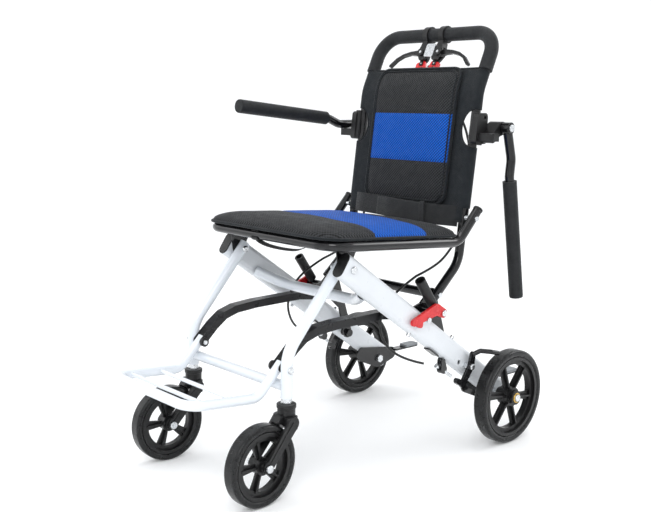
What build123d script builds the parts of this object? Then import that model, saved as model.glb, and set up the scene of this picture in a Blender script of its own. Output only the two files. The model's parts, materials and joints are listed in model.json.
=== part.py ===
"""Folding transport wheelchair with tubular frame, swivel castors and braked rear wheels.

Frame: +Z up, the sitter faces -Y, +X is the sitter's left, millimetres.
The origin is on the floor, at the centre of the outer box.
The side view (Y, Z) holds all the fold pivots, and each side is a mirror of the other,
apart from the armrests: the left one hangs stowed, the right one is down for use.
"""
from build123d import *

import os
from math import atan2, cos, degrees, hypot, radians, sin

# ---------------------------------------------------------------- driving dimensions
REAR_WHEEL_R = 100.0            # 200 mm rear wheels
REAR_AXLE = (317.0, 100.0)      # Y, Z of the rear axle
REAR_X = 225.0                  # tyre centre plane
REAR_TYRE_W = 30.0
CASTOR_R = 75.0                 # 150 mm castors
CASTOR_TYRE_W = 28.0
CASTOR_LEAD = 62.0              # axle ahead of the stem, as after backing up
CASTOR_TOE = 3.0                # degrees, each castor a little turned out
SPIN_GAP = 0.08                 # radial clearance of the running fits
SIDE_GAP = 0.4                  # side clearance between moving pieces

FRAME_TUBE_R = 11.0             # white leg tubes, 22 mm
SEAT_TUBE_R = 9.5               # black seat and back tubes, 19 mm
FOOT_TUBE_R = 9.0               # footrest tube, 18 mm
WALL = 1.8
FOAM_R = 14.5
ARM_FOAM_R = 14.5

# lanes: |x| of each layer of the folding frame, so that no two layers meet while it folds
BEAM_X = 171.0
BEAM_W = 25.0
BEAM_H = 50.0
LEG_X = 144.4
SEAT_X = 186.0
BACK_X = 158.0
FOOT_X = 121.3
ARM_X = 211.0
CRANK_PLATE = (143.5, 147.5)
LATCH_LANE = (189.2, 195.0)
LEVER_X = 178.3

# pivots in the side view (Y, Z)
P_FRONT = (-112.0, 410.0)       # beam, leg and seat frame
P_CRANK = (200.0, 184.0)        # beam and crank
P_BACK = (150.0, 329.0)         # crank and back frame
P_SEAT = (222.0, 481.0)         # seat frame and back frame
P_FOOT = (-235.0, 238.0)        # leg, footrest and link bar
P_LINK = (73.0, 292.0)          # link bar and crank
P_LATCH = (132.0, 299.0)
P_PIN = (87.0, 291.0)           # pin that the latch hooks
P_ARM = (288.0, 662.0)
P_BRAKE = (222.0, 174.0)

# beams: straight from the seat front down to the rear axle
BEAM_ANGLE = 34.1
BEAM_FRONT = (-130.0, 419.5)
BEAM_LENGTH = 580.0

# legs
LEG_Y = -235.0
LEG_BEND_Z = 267.3
LEG_FOOT_Z = 186.0
CROSS_TUBE = (-235.0, 206.0)

# seat
SEAT_FRONT = (-165.0, 457.0)
SEAT_REAR = (178.0, 436.0)
SEAT_TOP = (236.0, 497.0)

# back frame
BACK_FOOT = (142.0, 321.8)
BACK_LOW_BEND = (215.5, 388.0)
BACK_HIGH_BEND = (258.5, 736.0)
HANDLE = (312.0, 856.0)
HANDLE_BEND = 50.0
BACK_LEAN = degrees(atan2(BACK_HIGH_BEND[0] - BACK_LOW_BEND[0], BACK_HIGH_BEND[1] - BACK_LOW_BEND[1]))
HANDLE_LEAN = degrees(atan2(HANDLE[0] - BACK_HIGH_BEND[0], HANDLE[1] - BACK_HIGH_BEND[1]))

# armrest, seen in its place for use and relative to its pivot
ARM_FOAM_START = 10.0           # from the shoulder bend
ARM_REACH = 356.0
ARM_STOW_TURN = -254.3          # degrees from use to hanging behind the back

PARTS = {}


# ---------------------------------------------------------------- helpers
def at(x, p):
    """A point of the side view, at x."""
    return (x, p[0], p[1])


def along(p, q, t):
    """The point t millimetres from p towards q."""
    d = hypot(q[0] - p[0], q[1] - p[1])
    return (p[0] + (q[0] - p[0]) * t / d, p[1] + (q[1] - p[1]) * t / d)


def turned(p, centre, angle):
    """Side-view point p turned about centre by angle degrees, +Y towards +Z."""
    c = cos(radians(angle))
    s = sin(radians(angle))
    y = p[0] - centre[0]
    z = p[1] - centre[1]
    return (centre[0] + y * c - z * s, centre[1] + y * s + z * c)


def swept(points, outer, wall=0.0, bend=40.0):
    """A round bar or tube along a polyline with rounded corners."""
    path = FilletPolyline(*points, radius=bend) if len(points) > 2 else Line(*points)
    section = Circle(outer)
    if wall:
        section = section - Circle(outer - wall)
    return sweep(Plane(origin=path @ 0, z_dir=path % 0) * section, path=path)


def disc(x0, x1, p, r, bore=0.0):
    """A cylinder along X between x0 and x1 about the side-view point p."""
    plane = Plane(origin=at(min(x0, x1), p), z_dir=(1, 0, 0))
    profile = Circle(r)
    if bore:
        profile = profile - Circle(bore)
    return extrude(plane * profile, abs(x1 - x0))


def bolt_head(x_face, p, r, height, side=1):
    """A domed head on a face at x_face, standing out along side."""
    head = disc(x_face, x_face + side * height, p, r)
    rim = head.edges().filter_by(GeomType.CIRCLE).sort_by(Axis.X)[-1 if side > 0 else 0]
    return fillet(rim, height * 0.6)


def side_plate(x0, x1, outline):
    """A plate between x0 and x1 whose outline is a face in (Y, Z)."""
    plane = Plane(origin=(x0, 0, 0), x_dir=(0, 1, 0), z_dir=(1, 0, 0))
    return extrude(plane * outline, x1 - x0)


def dot(p, r):
    """A filled circle in the side view."""
    return Pos(p[0], p[1]) * Circle(r)


def strap(p, q, rp, rq):
    """A side-view link: two circles and the tangent hull between them."""
    return make_hull((dot(p, rp) + dot(q, rq)).edges())


def mirrored(shape):
    return mirror(shape, about=Plane.YZ)


def both(shape):
    return Compound(children=[*shape.solids(), *mirrored(shape).solids()])


def group(*shapes):
    return Compound(children=[s for shape in shapes for s in shape.solids()])


def put(name, shape):
    PARTS[name] = shape


def put_sides(name, shape):
    """The same piece on the sitter's left and, mirrored, on the right."""
    put(name + "_left", shape)
    put(name + "_right", mirrored(shape))


# ---------------------------------------------------------------- chassis: beams, axles, brakes
def beam_frame(t, offset=0.0):
    """Side-view point t along a beam's centre line and offset above it."""
    a = radians(BEAM_ANGLE)
    y = BEAM_FRONT[0] + t * cos(a) + offset * sin(a)
    z = BEAM_FRONT[1] - t * sin(a) + offset * cos(a)
    return (y, z)


def beam_plane(t):
    """Plane across the beam at t, its X across the beam's height."""
    a = radians(BEAM_ANGLE)
    return Plane(origin=at(BEAM_X, beam_frame(t)), x_dir=(0, sin(a), cos(a)), z_dir=(0, cos(a), -sin(a)))


def beam():
    outer = extrude(beam_plane(0) * SlotOverall(BEAM_H, BEAM_W), BEAM_LENGTH)
    inner = extrude(beam_plane(-1) * SlotOverall(BEAM_H - 5, BEAM_W - 5), BEAM_LENGTH + 2)
    hollow = outer - inner
    for p, r in ((P_FRONT, 4.0), (P_CRANK, 5.0), (P_PIN, 4.2), (P_BRAKE, 4.0), (REAR_AXLE, 6.0)):
        hollow -= disc(BEAM_X - 20, BEAM_X + 20, p, r)
    return hollow


def beam_end_caps():
    front = extrude(beam_plane(-2.5) * SlotOverall(BEAM_H - 1, BEAM_W - 1), 2.5)
    rear = extrude(beam_plane(BEAM_LENGTH) * SlotOverall(BEAM_H - 1, BEAM_W - 1), 2.5)
    return both(front + rear)


def chassis_cross_tube():
    """The white tube that bows back between the two beams."""
    end = (-62.0, 355.0)
    mid = (-25.0, 331.0)
    x = BEAM_X - BEAM_W / 2
    points = [(-x, *end), (-104, *mid), (104, *mid), (x, *end)]
    inside = Box(2 * x, 2000, 2000)
    return swept(points, FRAME_TUBE_R, WALL, 60) & inside


def chassis_pins():
    """Pivot bolts, latch pins and small bolts of one beam."""
    outer = BEAM_X + BEAM_W / 2
    inner = BEAM_X - BEAM_W / 2
    pivot = disc(LEG_X - FRAME_TUBE_R - 1, outer + 0.5, P_FRONT, 4.0)
    pivot += bolt_head(outer + 0.2, P_FRONT, 7.0, 4.0)
    pivot += bolt_head(LEG_X - FRAME_TUBE_R - 0.5, P_FRONT, 7.0, 4.5, -1)
    pin = disc(inner, LATCH_LANE[1] + 1.0, P_PIN, 4.2)
    pin += disc(LATCH_LANE[1] + 0.4, LATCH_LANE[1] + 2.4, P_PIN, 5.5)
    under = beam_frame(239, -BEAM_H / 2 + 1.0)
    guide = beam_frame(364, BEAM_H / 2 - 1.0)
    a = radians(BEAM_ANGLE)
    small = extrude(Plane(origin=at(BEAM_X + 3, under), z_dir=(0, -sin(a), -cos(a))) * Circle(4.5), 6.0)
    small += extrude(Plane(origin=at(BEAM_X + 3, guide), z_dir=(0, sin(a), cos(a))) * Circle(4.0), 6.0)
    return pivot, pin, small


def crank_pivot():
    """Black stand-off on the beam's inner face that carries the crank."""
    inner = BEAM_X - BEAM_W / 2
    post = disc(CRANK_PLATE[1] + SIDE_GAP, inner, P_CRANK, 9.0)
    post += disc(CRANK_PLATE[0] - SIDE_GAP, CRANK_PLATE[1] + SIDE_GAP, P_CRANK, 5.0)
    post += disc(inner, inner + 4.0, P_CRANK, 5.0)
    return post + disc(CRANK_PLATE[0] - SIDE_GAP - 7.0, CRANK_PLATE[0] - SIDE_GAP, P_CRANK, 8.5)


def tipping_plate():
    """Black plate inside the beam's rear end with a foot pedal behind the wheel."""
    inner = BEAM_X - BEAM_W / 2
    outline = make_hull((dot((262, 118), 17) + dot(REAR_AXLE, 22) + dot((362, 106), 15)).edges())
    plate = side_plate(inner - 4.0, inner, outline)
    plate -= disc(inner - 5, inner + 1, REAR_AXLE, 6.0)
    tang = Pos(inner - 10, 401, 116) * Box(20, 76, 4)
    return plate + tang


def tipping_pad():
    inner = BEAM_X - BEAM_W / 2
    pad = Pos(inner - 10, 418, 120.5) * Box(24, 44, 5)
    return fillet(pad.edges().filter_by(Axis.Z), 4)


def rear_axle():
    inner = BEAM_X - BEAM_W / 2
    outer = BEAM_X + BEAM_W / 2
    shaft = disc(inner - 6, REAR_X + 25, REAR_AXLE, 6.0)
    spacer = disc(outer, REAR_X - 23 - SIDE_GAP, REAR_AXLE, 9.0)
    nut_plane = Plane(origin=at(inner - 10.5, REAR_AXLE), z_dir=(1, 0, 0))
    nut = extrude(nut_plane * RegularPolygon(9.5, 6), 6.0)
    head = bolt_head(REAR_X + 22 + SIDE_GAP, REAR_AXLE, 8.0, 5.0)
    return shaft + spacer + nut + head


def brake_stop():
    """Bracket under the beam that ends the cable's casing, with its adjuster."""
    a = radians(BEAM_ANGLE)
    top = beam_frame(322, -BEAM_H / 2 - 1.5)
    flange = Plane(origin=at(BEAM_X + 4, top), x_dir=(1, 0, 0), z_dir=(0, sin(a), cos(a))) * Box(16, 34, 3)
    leg = side_plate(BEAM_X + 1, BEAM_X + 13, strap((150, 196), (153, 177), 5, 9))
    return flange + leg


STOP = (176.5, 150.0, 178.0)            # where the casing ends
ANCHOR = (190.0, 187.0, 150.0)          # where the inner wire is clamped


def line_point(t):
    """Point t millimetres from the casing stop along the inner wire."""
    d = Vector(*ANCHOR) - Vector(*STOP)
    return Vector(*STOP) + d.normalized() * t


def wire_solid(t0, t1, r, bore=0.0):
    d = (Vector(*ANCHOR) - Vector(*STOP)).normalized()
    profile = Circle(r)
    if bore:
        profile = profile - Circle(bore)
    return extrude(Plane(origin=line_point(t0), z_dir=d) * profile, t1 - t0)


def brake_adjuster():
    """Silver barrel and nuts through the stop bracket."""
    return wire_solid(-13, 16, 3.0) + wire_solid(-13, -9, 5.0) + wire_solid(10, 14, 5.0)


def brake_spring():
    """Return spring around the inner wire, a plain sleeve of its outer size."""
    return wire_solid(16, 32, 3.6)


def brake_arm():
    """Bent strap that swings its upper tip down on the tyre."""
    shoe_tip = (275.0, 200.0)
    low = side_plate(194.0, 200.0, strap((197, 141), P_BRAKE, 7, 8))
    high = side_plate(194.0, 200.0, strap(P_BRAKE, (227, 199), 8, 6.5))
    over = swept([(197, 227, 199), (206, 240, 206.5), (222, 254, 205.5), (226, *shoe_tip)], 5.0, 0, 8)
    arm = low + high + over
    arm -= disc(190, 204, P_BRAKE, 4.0 + SPIN_GAP)
    clamp = side_plate(185.0, 194.0, strap((189, 147.5), (197, 141), 6, 5))
    return arm + clamp


def brake_bolt():
    outer = BEAM_X + BEAM_W / 2
    bolt = disc(outer - 6, 200 + SIDE_GAP + 0.1, P_BRAKE, 4.0)
    bolt += disc(outer, 194.0 - SIDE_GAP, P_BRAKE, 7.0)
    return bolt + bolt_head(200 + SIDE_GAP, P_BRAKE, 6.5, 4.0)


# ---------------------------------------------------------------- wheels
def tyre(radius, width, x, centre, thick):
    """A rounded solid tyre about an axis along X."""
    profile = Pos(radius - thick / 2, 0) * RectangleRounded(thick, width, min(thick, width) * 0.42)
    ring = revolve(Plane.XZ * (Pos(0, 0) * profile), Axis.Z)
    return Pos(x, centre[0], centre[1]) * Rot(0, 90, 0) * ring


def spoked_rim(radius, hub_r, bore, width, hub_w, spokes, phase, x, centre):
    """A moulded rim: stepped ring, hub and tapered, ribbed spokes, axis along X."""
    ring = extrude(Circle(radius) - Circle(radius - 7), width / 2, both=True)
    ring += extrude(Circle(radius - 7) - Circle(radius - 16), width / 2 - 6, both=True)
    hub = extrude(Circle(hub_r), hub_w / 2, both=True)
    hub += extrude(Circle(hub_r + 5), hub_w / 2 - 8, both=True)
    r0 = hub_r - 2
    r1 = radius - 13
    blade = Polyline((r0, -5), (r1, -10), (r1, 10), (r0, 5), close=True)
    rib = Pos((r0 + r1) / 2, 0, 0) * Box(r1 - r0, 3.6, width - 9)
    body = ring + hub
    for i in range(spokes):
        turn = Rot(0, 0, phase + 360 / spokes * i)
        body += turn * (extrude(make_face(blade), 2.2, both=True) + rib)
    body -= extrude(Circle(bore), hub_w, both=True)
    return Pos(x, centre[0], centre[1]) * Rot(0, 90, 0) * body


def rear_wheels():
    rim_r = REAR_WHEEL_R - 15
    rim = spoked_rim(rim_r, 15, 6.0 + SPIN_GAP, 26, 44, 6, 20, REAR_X, REAR_AXLE)
    put_sides("rear_rim", rim)
    put_sides("rear_tyre", tyre(REAR_WHEEL_R, REAR_TYRE_W, REAR_X, REAR_AXLE, 15))


CASTOR_AXLE_Z = CASTOR_R
STEM_TOP = LEG_FOOT_Z + 30.0
FORK_TOP = 176.0


def toed(shape):
    """Turn a castor piece about its stem, from straight ahead to its toe-out."""
    stem = Axis((LEG_X, LEG_Y, 0), (0, 0, 1))
    return shape.rotate(stem, CASTOR_TOE)


def castor_fork():
    """Black moulded fork: upright head with a cap, shoulders and two raked legs."""
    axle = (LEG_Y - CASTOR_LEAD, CASTOR_AXLE_Z)
    half = CASTOR_TYRE_W / 2 + 4.0
    head = Pos(LEG_X, LEG_Y, FORK_TOP - 24) * Cylinder(16.5, 48)
    cap = Pos(LEG_X, LEG_Y, FORK_TOP - 4) * Cylinder(18, 8)
    cap = fillet(cap.edges().filter_by(GeomType.CIRCLE), 1.5)
    shoulders = Pos(LEG_X, LEG_Y - 2, 143) * Box(2 * half + 10, 26, 24)
    shoulders = fillet(shoulders.edges().filter_by(Axis.Z), 8)
    web = side_plate(LEG_X - 9, LEG_X + 9, strap((LEG_Y - 14, 146), (LEG_Y - 24, 139), 12, 8))
    leg = strap((LEG_Y - 2, 143), axle, 12.5, 9)
    rib = strap((LEG_Y - 2, 143), axle, 4, 3.5)
    fork = head + cap + shoulders + web
    for x, side in ((LEG_X - half - 5, -1), (LEG_X + half, 1)):
        fork += side_plate(x, x + 5, leg)
        fork += side_plate(x + side, x + 5 + side, rib)
    fork -= disc(LEG_X - half, LEG_X + half, axle, CASTOR_R + 4)
    fork -= disc(LEG_X - 40, LEG_X + 40, axle, 5.0)
    return fork - Pos(LEG_X, LEG_Y, 160) * Cylinder(7, 80)


def castor_axle():
    axle = (LEG_Y - CASTOR_LEAD, CASTOR_AXLE_Z)
    side = CASTOR_TYRE_W / 2 + 10.0
    shaft = disc(LEG_X - side - 0.5, LEG_X + side + 0.5, axle, 5.0)
    shaft += bolt_head(LEG_X + side, axle, 7.5, 4.5)
    return shaft + bolt_head(LEG_X - side, axle, 7.5, 4.5, -1)


def castor_stem():
    """Silver stem that turns in the foot of the leg, with its nut below the leg."""
    pin = Pos(LEG_X, LEG_Y, (FORK_TOP - 26 + STEM_TOP) / 2) * Cylinder(7.0, STEM_TOP - FORK_TOP + 26)
    nut = Pos(LEG_X, LEG_Y, FORK_TOP + 3.4) * extrude(RegularPolygon(10.5, 6), 3.0, both=True)
    collar = Pos(LEG_X, LEG_Y, LEG_FOOT_Z - 2.2) * Cylinder(9.0, 3.4)
    return pin + nut + collar


def castors():
    axle = (LEG_Y - CASTOR_LEAD, CASTOR_AXLE_Z)
    rim_r = CASTOR_R - 13
    rim = spoked_rim(rim_r, 11, 5.0 + SPIN_GAP, CASTOR_TYRE_W - 4, CASTOR_TYRE_W + 7, 5, 52, LEG_X, axle)
    put_sides("castor_fork", toed(castor_fork()))
    put_sides("castor_stem", group(toed(castor_stem()), toed(castor_axle())))
    put_sides("castor_rim", toed(rim))
    put_sides("castor_tyre", toed(tyre(CASTOR_R, CASTOR_TYRE_W, LEG_X, axle, 13)))


# ---------------------------------------------------------------- front legs and footrest
def leg():
    top = along(P_FRONT, (LEG_Y, LEG_BEND_Z), -14)
    points = [at(LEG_X, top), (LEG_X, LEG_Y, LEG_BEND_Z), (LEG_X, LEG_Y, LEG_FOOT_Z)]
    tube = swept(points, FRAME_TUBE_R, WALL, 75)
    bush = Pos(LEG_X, LEG_Y, LEG_FOOT_Z + 16) * Cylinder(FRAME_TUBE_R - WALL, 32)
    tube += bush - Pos(LEG_X, LEG_Y, LEG_FOOT_Z) * Cylinder(7.0 + SPIN_GAP, 80)
    tube -= disc(LEG_X - 20, LEG_X + 20, P_FRONT, 4.0 + SPIN_GAP)
    return tube - disc(LEG_X - 20, LEG_X + 20, P_FOOT, 4.0)


def leg_cross_tube():
    reach = LEG_X - FRAME_TUBE_R + 3
    tube = swept([(-reach, *CROSS_TUBE), (reach, *CROSS_TUBE)], SEAT_TUBE_R, WALL)
    for x in (-LEG_X, LEG_X):
        tube -= Pos(x, LEG_Y, CROSS_TUBE[1]) * Cylinder(FRAME_TUBE_R, 40)
    return tube


FOOT_TIP_Y = -431.0


def footrest_points():
    knee = (-284.0, 189.0)
    toe = (FOOT_TIP_Y, 202.0)
    head = along(P_FOOT, (-262.0, 206.0), -9)
    half = [at(FOOT_X, head), at(FOOT_X, knee), at(FOOT_X, toe)]
    return half + [(-x, y, z) for x, y, z in reversed(half)]


def footrest():
    """Bent loop with two thin rods welded across it."""
    loop = swept(footrest_points(), FOOT_TUBE_R, WALL, 32)
    hollow = swept(footrest_points(), FOOT_TUBE_R - WALL, 0, 32)
    for y, z in ((-396.0, 200.0), (-330.0, 194.0)):
        loop += swept([(-FOOT_X, y, z), (FOOT_X, y, z)], 4.0) - hollow
    for x in (-FOOT_X, FOOT_X):
        loop -= disc(x - 15, x + 15, P_FOOT, 4.0 + SPIN_GAP)
    return loop


def foot_pivot():
    """Cross bolt of the footrest, with the black disc on its inner end."""
    inner = FOOT_X - FOOT_TUBE_R - 3.0
    bolt = disc(inner - 6.5, LEG_X + FRAME_TUBE_R + 0.5, P_FOOT, 4.0)
    bolt += bolt_head(LEG_X + FRAME_TUBE_R, P_FOOT, 6.5, 4.0)
    cap = disc(inner - 6.0, inner - SIDE_GAP, P_FOOT, 9.0, 4.0)
    bolt += bolt_head(inner - 6.0, P_FOOT, 4.8, 2.5, -1)
    return bolt, cap


# ---------------------------------------------------------------- link bars
def link_bar():
    """Arched channel, open below, whose jaws straddle the footrest tube."""
    jaw = 2.4
    x0 = FOOT_X - FOOT_TUBE_R - 0.3 - jaw
    x1 = FOOT_X + FOOT_TUBE_R + 0.3 + jaw
    arch = [(-205.0, 266.0), (-180.0, 284.0), (-150.0, 293.0), (-100.0, 297.0), (20.0, 299.0)]
    crest = [P_FOOT, *arch, P_LINK]
    outline = strap(crest[0], crest[1], 8, 8)
    for p, q in zip(crest[1:], crest[2:]):
        outline += strap(p, q, 8, 8)
    bar = side_plate(x0, x1, outline)
    inner = strap(crest[0], crest[1], 12, 5.6)
    for p, q in zip(crest[1:], crest[2:]):
        inner += strap(p, q, 5.6, 5.6)
        low = [(p[0], p[1] - 10), (q[0], q[1] - 10)]
        inner += strap(low[0], low[1], 9, 9)
    inner += strap(along(crest[0], crest[1], -20), along(crest[0], crest[1], 18), 14, 11)
    inner += strap((crest[0][0], crest[0][1] - 10), (crest[1][0], crest[1][1] - 10), 9, 9)
    bar -= side_plate(x0 + jaw, x1 - jaw, inner)
    bar -= disc(x0 - 1, x1 + 1, P_FOOT, 4.0 + SPIN_GAP)
    return bar


# ---------------------------------------------------------------- crank, lever and latch
def crank():
    """Plate from the beam pivot round to the back frame, the latch and the link bar."""
    arc_mid = (180.0, 250.0)
    hub = (121.0, 303.0)
    outline = strap(P_CRANK, arc_mid, 12, 10) + strap(arc_mid, P_BACK, 10, 12)
    outline += strap(P_BACK, hub, 12, 12) + strap(hub, P_LINK, 12, 10) + strap(arc_mid, hub, 9, 10)
    plate = side_plate(*CRANK_PLATE, outline)
    plate -= disc(140, 150, P_CRANK, 5.0 + SPIN_GAP)
    plate -= disc(140, 150, P_BACK, 6.0 + SPIN_GAP)
    block = side_plate(CRANK_PLATE[1], LATCH_LANE[0] - SIDE_GAP, strap(hub, P_LATCH, 11, 9))
    stub = disc(FOOT_X + FOOT_TUBE_R + 3.3, CRANK_PLATE[0], P_LINK, 4.0)
    stub += disc(CRANK_PLATE[0] - 3.0, CRANK_PLATE[0], P_LINK, 8.0)
    pin = disc(LATCH_LANE[0] - SIDE_GAP, LATCH_LANE[1] + SIDE_GAP, P_LATCH, 4.0)
    pin += bolt_head(LATCH_LANE[1] + SIDE_GAP, P_LATCH, 6.5, 3.5)
    return plate + block + stub, pin


def fold_lever():
    """Short black grip that is pulled to fold the chair."""
    foot = (116.0, 316.0)
    top = (76.0, 370.0)
    grip = swept([at(LEVER_X, foot), at(LEVER_X, top)], 10.5, 3.0)
    return grip - side_plate(140, 200, strap((121.0, 303.0), P_LATCH, 11, 9))


def latch():
    """Red hook that drops over the pin on the beam."""
    tip = (47.0, 291.0)
    knee = (112.0, 309.0)
    outline = strap(tip, knee, 7.0, 11.5) + strap(knee, P_LATCH, 11.5, 9.5)
    outline += strap((63.0, 287.0), (66.0, 283.0), 8.0, 4.5)
    away = turned(P_PIN, P_CRANK, 16)
    outline -= strap(P_PIN, away, 5.4, 6.0)
    plate = side_plate(*LATCH_LANE, outline)
    plate = fillet(plate.edges().filter_by(GeomType.LINE).filter_by(Axis.X), 0.8)
    return plate - disc(185, 200, P_LATCH, 4.0 + SPIN_GAP)


# ---------------------------------------------------------------- seat
def seat_points():
    half = [at(SEAT_X, SEAT_TOP), at(SEAT_X, SEAT_REAR), at(SEAT_X, SEAT_FRONT)]
    return half + [(-x, y, z) for x, y, z in reversed(half)]


def seat_frame():
    tube = swept(seat_points(), SEAT_TUBE_R, WALL, 42)
    lug = make_hull((dot(P_FRONT, 13) + dot((-126, 449), 6) + dot((-84, 446), 6)).edges())
    x0 = LEG_X + FRAME_TUBE_R + 0.3
    lugs = side_plate(x0, x0 + 2.5, lug)
    shelf = side_plate(x0, SEAT_X - 4, make_hull((dot((-126, 449), 4) + dot((-84, 446), 4)).edges()))
    lugs += shelf
    lugs -= swept(seat_points(), SEAT_TUBE_R - WALL, 0, 42)
    lugs -= disc(x0 - 1, x0 + 4, P_FRONT, 4.0 + SPIN_GAP)
    return tube + lugs + mirrored(lugs)


def seat_bolts():
    """Bolts that join the seat frame's rear ends to the back tubes."""
    bolt = disc(BACK_X + SEAT_TUBE_R + 0.6, SEAT_X - SEAT_TUBE_R, P_SEAT, 5.0)
    head = bolt_head(SEAT_X + SEAT_TUBE_R - 0.6, P_SEAT, 5.0, 3.4)
    head -= swept([at(SEAT_X, SEAT_TOP), at(SEAT_X, SEAT_REAR)], SEAT_TUBE_R)
    bolt -= swept([at(SEAT_X, SEAT_TOP), at(SEAT_X, SEAT_REAR)], SEAT_TUBE_R)
    return both(Compound(children=[*bolt.solids(), *head.solids()]))


def seat_caps():
    top = Vector(*at(SEAT_X, SEAT_TOP))
    axis = (top - Vector(*at(SEAT_X, SEAT_REAR))).normalized()
    cap = extrude(Plane(origin=top, z_dir=axis) * Circle(SEAT_TUBE_R + 0.6), 4.0)
    return both(fillet(cap.edges().sort_by(Axis.Z)[-1], 1.2))


def seat_plane():
    """Plane in the seat tubes' slope, its X across and its Y to the rear."""
    slope = atan2(SEAT_REAR[1] - SEAT_FRONT[1], SEAT_REAR[0] - SEAT_FRONT[0])
    return Plane(origin=(0, *SEAT_FRONT), x_dir=(1, 0, 0), z_dir=(0, -sin(slope), cos(slope)))


SEAT_DEPTH = 372.0
CUSHION_T = 30.0


def seat_sling():
    """Woven sling stretched inside the seat tubes."""
    depth = 332.0
    width = 2 * (SEAT_X - SEAT_TUBE_R) - 1.0
    sheet = seat_plane() * Pos(0, 12 + depth / 2, 5.0) * Box(width, depth, 4.0)
    return sheet - swept(seat_points(), SEAT_TUBE_R + SIDE_GAP, 0, 42)


def seat_cushion():
    """Plain solid of the seat cushion, resting on the seat tubes."""
    width = 2 * SEAT_X + 6
    lift = SEAT_TUBE_R + 0.4 + CUSHION_T / 2
    pad = seat_plane() * Pos(0, SEAT_DEPTH / 2 - 14, lift) * Box(width, SEAT_DEPTH, CUSHION_T)
    pad = fillet(pad.edges().filter_by(Axis.X), 9)
    return pad - swept(seat_points(), SEAT_TUBE_R + SIDE_GAP, 0, 42)


# ---------------------------------------------------------------- back frame
def back_points():
    half = [
        at(BACK_X, BACK_FOOT),
        at(BACK_X, BACK_LOW_BEND),
        at(BACK_X, BACK_HIGH_BEND),
        at(BACK_X, HANDLE),
    ]
    return half + [(-x, y, z) for x, y, z in reversed(half)]


def back_frame():
    """One bent tube: lower ends, back uprights and the push handle."""
    radii = [60, 80, HANDLE_BEND, HANDLE_BEND, 80, 60]
    path = FilletPolyline(*back_points(), radius=radii)
    ring = Circle(SEAT_TUBE_R) - Circle(SEAT_TUBE_R - WALL)
    return sweep(Plane(origin=path @ 0, z_dir=path % 0) * ring, path=path)


def back_cross_tube():
    """Tube between the lower ends; its stubs are the pivots of the cranks."""
    reach = CRANK_PLATE[0] - SIDE_GAP
    tube = disc(-reach, reach, P_BACK, SEAT_TUBE_R)
    stub = disc(reach, BACK_X - 5, P_BACK, 6.0)
    stub -= swept(back_points()[:3], SEAT_TUBE_R, 0, 60)
    return tube + stub + mirrored(stub)


def back_bolts():
    """Outer bolt heads on the lower ends of the back frame."""
    head = disc(BACK_X + 6, BACK_X + SEAT_TUBE_R + 2.4, P_BACK, 5.0)
    return head - swept(back_points()[:3], SEAT_TUBE_R, 0, 60)


def handle_grip():
    """Foam sleeve over the push handle."""
    rise = hypot(HANDLE[0] - BACK_HIGH_BEND[0], HANDLE[1] - BACK_HIGH_BEND[1])
    upright = along(HANDLE, BACK_HIGH_BEND, rise - 46)
    half = [at(BACK_X, upright), at(BACK_X, HANDLE)]
    points = half + [(-x, y, z) for x, y, z in reversed(half)]
    return swept(points, FOAM_R, FOAM_R - SEAT_TUBE_R, HANDLE_BEND)


def back_at(z):
    """Y of the back tubes' centre line at height z, on their main straight."""
    y0, z0 = BACK_LOW_BEND
    y1, z1 = BACK_HIGH_BEND
    return y0 + (z - z0) * (y1 - y0) / (z1 - z0)


def back_plane(z):
    """Plane in the back uprights at height z, its Y up along them, its Z to the front."""
    a = radians(BACK_LEAN)
    return Plane(origin=(0, back_at(z), z), x_dir=(1, 0, 0), z_dir=(0, -cos(a), sin(a)))


def backrest_fabric():
    """Plain solid of the back upholstery between the tubes."""
    height = 272.0
    width = 2 * (BACK_X - SEAT_TUBE_R) - 1.0
    sheet = back_plane(630) * Pos(0, 0, 4.0) * Box(width, height, 6.0)
    for x in (-BACK_X, BACK_X):
        sheet -= back_plane(660) * Pos(x, 0, 0) * Box(37, 72, 60)
    return sheet


def backrest_pad():
    """Plain solid of the padded centre panel."""
    pad = back_plane(636) * Pos(0, 0, 14.4) * Box(224, 262, 14.0)
    return fillet(pad.edges().filter_by(lambda e: e.length < 20), 6)


def lap_belt():
    """Wide belt lying across the foot of the back, below the cloth."""
    return back_plane(478) * Pos(0, 0, 21.0) * Box(280, 42, 4.0)


# ---------------------------------------------------------------- armrests
def arm_bracket():
    """Moulded bracket: half shell on the back tube, eyed cheek, cradle and pivot arm."""
    shell = Pos(BACK_X + 7.5, back_at(660), 660) * Rot(-BACK_LEAN, 0, 0) * Box(15, 30, 64)
    shell = fillet(shell.edges().filter_by(lambda e: e.length > 60), 5)
    x0 = BACK_X + 8
    x1 = BACK_X + 21
    tip = ARM_X - SEAT_TUBE_R - SIDE_GAP
    corners = dot((242, 683), 8) + dot((257, 683), 9) + dot((236, 636), 7) + dot((258, 637), 7)
    cheek = side_plate(x0, x1, make_hull(corners.edges()))
    arm = side_plate(x0 + 4, tip, strap((256, 641), (270, 652), 9, 9) + strap((270, 652), P_ARM, 9, 13))
    cradle = Pos((x0 + ARM_X + 7) / 2, 245, 644) * Box(ARM_X + 7 - x0, 17, 16)
    cradle -= Pos(ARM_X, 245, P_ARM[1] - 0.7) * Rot(90, 0, 0) * Cylinder(SEAT_TUBE_R + 1.0, 40)
    bracket = shell + cheek + arm + cradle
    bracket -= disc(x0 - 5, x1 + 5, (257, 683), 3.5)
    bracket -= swept(back_points()[:4], SEAT_TUBE_R, 0, 60)
    return bracket - disc(x0 - 5, ARM_X - SEAT_TUBE_R, P_ARM, 5.0)


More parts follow.
